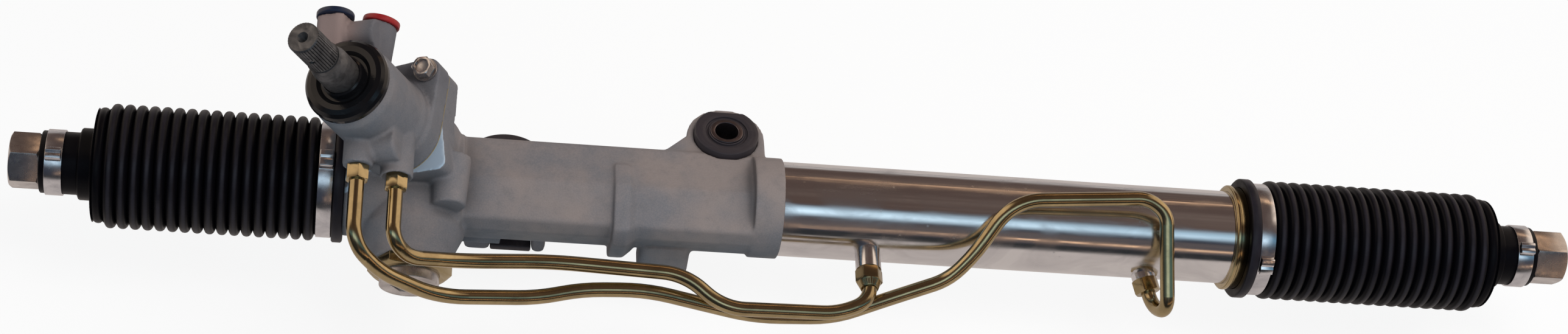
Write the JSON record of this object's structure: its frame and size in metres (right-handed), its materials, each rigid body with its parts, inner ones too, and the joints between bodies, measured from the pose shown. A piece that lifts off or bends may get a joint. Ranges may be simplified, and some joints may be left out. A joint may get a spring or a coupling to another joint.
{
  "type": "steering rack",
  "caption": "Hydraulic rack and pinion steering gear: cast housing, cylinder tube, bellows boots, tilted input shaft and pressure pipes.",
  "frame": {"origin": "on the axis of the right-hand mounting hole, at the lower end of its steel sleeve", "axes": "+Z along the mounting bolts towards the bolt heads; +X along the rack, from the input shaft's end towards the long cylinder tube; -Y is the side with the pipes and the rack guide"},
  "size_m": [0.864, 0.1628, 0.2178],
  "materials": {
    "cast_alloy": "matt sand-cast grey with a beige tint",
    "polished_steel": "polished, smudged",
    "yellow_zinc": "yellow-green zinc plate",
    "seal_rubber": "smooth black",
    "bush_rubber": "moulded black",
    "sleeve_steel": "turned, bright",
    "gasket_fibre": "pressed fibre",
    "zinc_steel": "bright zinc plate",
    "gloss_black": "glossy black",
    "bearing_steel": "ground",
    "blue_plastic": "dark blue, satin",
    "red_plastic": "red, satin",
    "bar_steel": "ground steel with a film of grease",
    "ring_plastic": "filled fluoroplastic",
    "dark_steel": "dark phosphated steel",
    "guide_alloy": "machined die casting",
    "spring_steel": "oiled spring wire",
    "boot_rubber": "black with a brownish sheen on the folds",
    "band_steel": "bright band steel"
  },
  "bodies": {
    "housing": {"rack_housing": "cast_alloy", "cylinder_tube": "polished_steel", "cylinder_end_ring": "yellow_zinc", "inner_seal": "seal_rubber", "end_seal": "seal_rubber", "end_bush": "bearing_steel", "mount_bush_right": "bush_rubber", "mount_sleeve_right": "sleeve_steel", "mount_bush_left": "bush_rubber", "mount_sleeve_left": "sleeve_steel", "valve_housing": "cast_alloy", "valve_gasket": "gasket_fibre", "valve_housing_bolts": "zinc_steel", "dust_cover": "gloss_black", "input_seal": "seal_rubber", "input_bearing": "bearing_steel", "pinion_bearing": "bearing_steel", "pinion_seal": "seal_rubber", "lower_bearing": "bearing_steel", "pinion_cap": "zinc_steel", "port_cap_blue": "blue_plastic", "port_cap_red": "red_plastic", "guide_spring": "spring_steel", "guide_cap": "zinc_steel", "guide_lock_nut": "zinc_steel", "boot_left": "boot_rubber", "boot_right": "boot_rubber", "clamp_large_left": "band_steel", "clamp_large_right": "band_steel", "pipe_long": "yellow_zinc", "pipe_short": "yellow_zinc", "flare_nut_left": "yellow_zinc", "flare_nut_right": "yellow_zinc", "flare_nut_port_a": "yellow_zinc", "flare_nut_port_b": "yellow_zinc"},
    "rack": {"rack_bar": "bar_steel", "piston": "bar_steel", "piston_ring": "ring_plastic", "rack_end_left": "zinc_steel", "rack_end_right": "zinc_steel", "lock_washer_left": "zinc_steel", "lock_washer_right": "zinc_steel", "clamp_small_left": "band_steel", "clamp_small_right": "band_steel"},
    "pinion": {"pinion": "bar_steel", "pinion_nut": "zinc_steel", "valve_sleeve": "bar_steel", "sleeve_rings": "ring_plastic"},
    "input_shaft": {"input_shaft": "dark_steel", "torsion_bar": "bar_steel", "torsion_pin": "bar_steel"},
    "rack_guide": {"rack_guide": "guide_alloy", "guide_liner": "ring_plastic"}
  },
  "joints": [
    {"name": "rack_slide", "type": "slide", "parent": "housing", "child": "rack", "axis": [1, 0, 0], "range_m": [-0.065, 0.065], "deforming": ["boot_left", "boot_right"]},
    {"name": "pinion_turn", "type": "hinge", "parent": "housing", "child": "pinion", "pos_m": [-0.1635, -0.02311, 0.02952], "axis": [-0.416, -0.3359, 0.8451], "range_deg": [-485, 485]},
    {"name": "valve_twist", "type": "hinge", "parent": "pinion", "child": "input_shaft", "pos_m": [-0.1635, -0.02311, 0.02952], "axis": [-0.416, -0.3359, 0.8451], "range_deg": [-7, 7], "stiffness_Nm_per_rad": 50},
    {"name": "guide_slide", "type": "slide", "parent": "housing", "child": "rack_guide", "axis": [0, -0.9293, -0.3694], "range_m": [0, 0.0002], "stiffness_N_per_m": 20000, "deforming": ["guide_spring"]}
  ],
  "couplings": [
    {"joint": "pinion_turn", "follows": "rack_slide", "rad_per_m": 129.91}
  ]
}
